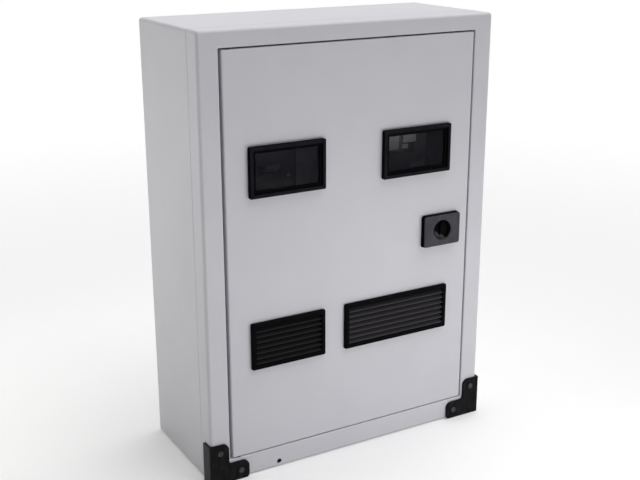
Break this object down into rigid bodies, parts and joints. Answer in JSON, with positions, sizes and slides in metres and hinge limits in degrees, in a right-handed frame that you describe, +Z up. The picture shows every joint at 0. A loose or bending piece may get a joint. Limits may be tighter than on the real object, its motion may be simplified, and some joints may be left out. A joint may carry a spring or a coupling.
{
  "type": "electrical service box",
  "caption": "Sheet-steel electrical service box with a flush hinged door, viewing windows, louvred vents, a turn lock and corner guards, for fixing to a wall.",
  "frame": {"origin": "centre of the overall box at its base", "axes": "+Z up, +X to the right seen from the front, +Y from the door to the back wall"},
  "size_m": [0.446, 0.195, 0.6],
  "materials": {
    "painted_steel": "matt-satin light grey powder coat",
    "black_moulding": "fine-grained black moulding",
    "guard_plastic": "tough black moulding",
    "lock_plastic": "dark grey moulding",
    "knob_plastic": "black moulding",
    "tinted_pane": "smoke-tinted clear sheet",
    "gasket_foam": "closed-cell black foam",
    "filter_fibre": "coarse grey filter mat",
    "zinc_steel": "zinc-plated",
    "nylon": "natural nylon",
    "meter_plastic": "grey moulding",
    "display_plastic": "clear display window",
    "cover_plastic": "dark grey moulding",
    "switch_plastic": "dark moulding",
    "lever_plastic": "black moulding",
    "brass": "plain",
    "grommet_rubber": "black rubber"
  },
  "bodies": {
    "cabinet": {"cabinet_body": "painted_steel", "front_frame": "painted_steel", "left_corner_guard": "guard_plastic", "right_corner_guard": "guard_plastic", "hinge_pins": "zinc_steel", "guard_screws": "zinc_steel", "mounting_plate": "zinc_steel", "plate_standoffs": "zinc_steel", "plate_nuts": "zinc_steel", "meter_cover_screws": "zinc_steel", "main_switch_screws": "zinc_steel", "device_rail": "zinc_steel", "rail_screws": "zinc_steel", "bar_screws": "zinc_steel", "gland_plate": "zinc_steel", "gland_screws": "zinc_steel", "hinge_washers": "nylon", "bar_supports": "nylon", "meter_case": "meter_plastic", "meter_display": "display_plastic", "meter_terminal_cover": "cover_plastic", "main_switch_case": "switch_plastic", "breaker_case": "switch_plastic", "neutral_bar": "brass", "earth_bar": "brass", "cable_grommets": "grommet_rubber"},
    "door": {"door_panel": "painted_steel", "door_gasket": "gasket_foam", "left_window_frame": "black_moulding", "right_window_frame": "black_moulding", "left_window_pane": "tinted_pane", "right_window_pane": "tinted_pane", "left_window_retainer": "black_moulding", "right_window_retainer": "black_moulding", "left_vent_grille": "black_moulding", "right_vent_grille": "black_moulding", "left_vent_filter": "filter_fibre", "right_vent_filter": "filter_fibre", "left_vent_retainer": "black_moulding", "right_vent_retainer": "black_moulding", "lock_housing": "lock_plastic", "lock_nut": "zinc_steel"},
    "lock": {"lock_knob": "knob_plastic", "lock_cam": "zinc_steel", "lock_cam_screw": "zinc_steel"},
    "main_lever": {"main_switch_lever": "lever_plastic"},
    "outgoing_lever": {"breaker_lever": "lever_plastic"}
  },
  "joints": [
    {"name": "door_hinge", "type": "hinge", "parent": "cabinet", "child": "door", "pos_m": [-0.1787, -0.0845, 0.3], "axis": [0, 0, -1], "range_deg": [0, 120]},
    {"name": "lock_turn", "type": "hinge", "parent": "door", "child": "lock", "pos_m": [0.14195, -0.0895, 0.30345], "axis": [0, -1, 0], "range_deg": [0, 90]},
    {"name": "main_switch_throw", "type": "hinge", "parent": "cabinet", "child": "main_lever", "pos_m": [-0.10107, -0.026, 0.40555], "axis": [1, 0, 0], "range_deg": [0, 40]},
    {"name": "breaker_throw", "type": "hinge", "parent": "cabinet", "child": "outgoing_lever", "pos_m": [0, -0.022, 0.26205], "axis": [1, 0, 0], "range_deg": [0, 40]}
  ]
}
